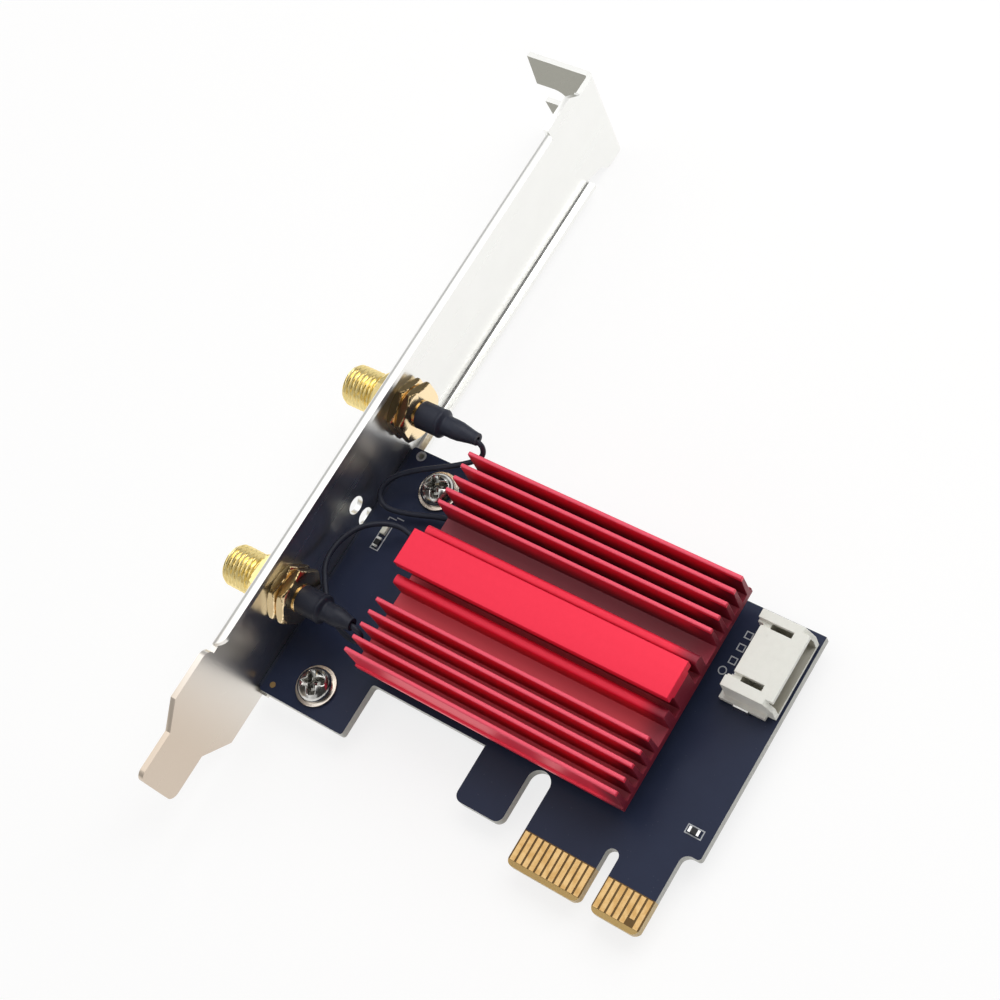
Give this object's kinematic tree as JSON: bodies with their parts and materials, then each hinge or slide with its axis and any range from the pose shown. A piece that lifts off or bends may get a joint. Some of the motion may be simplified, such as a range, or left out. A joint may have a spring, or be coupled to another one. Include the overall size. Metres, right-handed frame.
{
  "type": "slot-in wireless network card",
  "caption": "Short slot-in circuit board with an edge connector, a folded steel end bracket with threaded antenna ports, a finned red heatsink over a radio module and a side header.",
  "frame": {"origin": "component face of the board, in the middle of the key notch, where the slot's floor would be", "axes": "+X from the bracket to the free end, +Y from the slot to the top edge, +Z out of the component face"},
  "size_m": [0.0809, 0.1212, 0.0204],
  "materials": {
    "board_mask": "dark navy solder mask, satin",
    "contact_gold": "gold plate, satin",
    "bracket_steel": "bright plated sheet",
    "screw_steel": "bright nickel plate",
    "red_anodised": "red anodised, satin",
    "module_mask": "dark green solder mask",
    "shield_tin": "tin plate, satin",
    "port_gold": "gold plate, bright",
    "pad_grey": "soft matt pad",
    "socket_black": "moulded, matt",
    "header_white": "moulded, satin",
    "chip_black": "matt",
    "light_clear": "clear yellowish resin",
    "insulator_white": "moulded, satin",
    "boot_black": "shrunk sleeve, satin",
    "lead_black": "satin"
  },
  "bodies": {
    "root": {"circuit_board": "board_mask", "edge_contacts_front": "contact_gold", "edge_contacts_back": "contact_gold", "bracket": "bracket_steel", "ear_screws": "screw_steel", "ear_washers": "screw_steel", "heatsink": "red_anodised", "module_board": "module_mask", "module_shield": "shield_tin", "module_jacks": "port_gold", "module_post": "screw_steel", "module_screw": "screw_steel", "thermal_pad": "pad_grey", "socket_housing": "socket_black", "socket_tails": "shield_tin", "header_housing": "header_white", "header_pins": "shield_tin", "header_tabs": "shield_tin", "chip_bodies": "chip_black", "chip_ends": "shield_tin", "light_chip": "light_clear", "upper_port_body": "port_gold", "upper_port_insulator": "insulator_white", "upper_port_contact": "port_gold", "upper_port_lock_washer": "port_gold", "upper_port_nut": "port_gold", "upper_ferrule": "port_gold", "upper_boot": "boot_black", "upper_lead": "lead_black", "upper_plug": "port_gold", "lower_port_body": "port_gold", "lower_port_insulator": "insulator_white", "lower_port_contact": "port_gold", "lower_port_lock_washer": "port_gold", "lower_port_nut": "port_gold", "lower_ferrule": "port_gold", "lower_boot": "boot_black", "lower_lead": "lead_black", "lower_plug": "port_gold"}
  },
  "joints": []
}
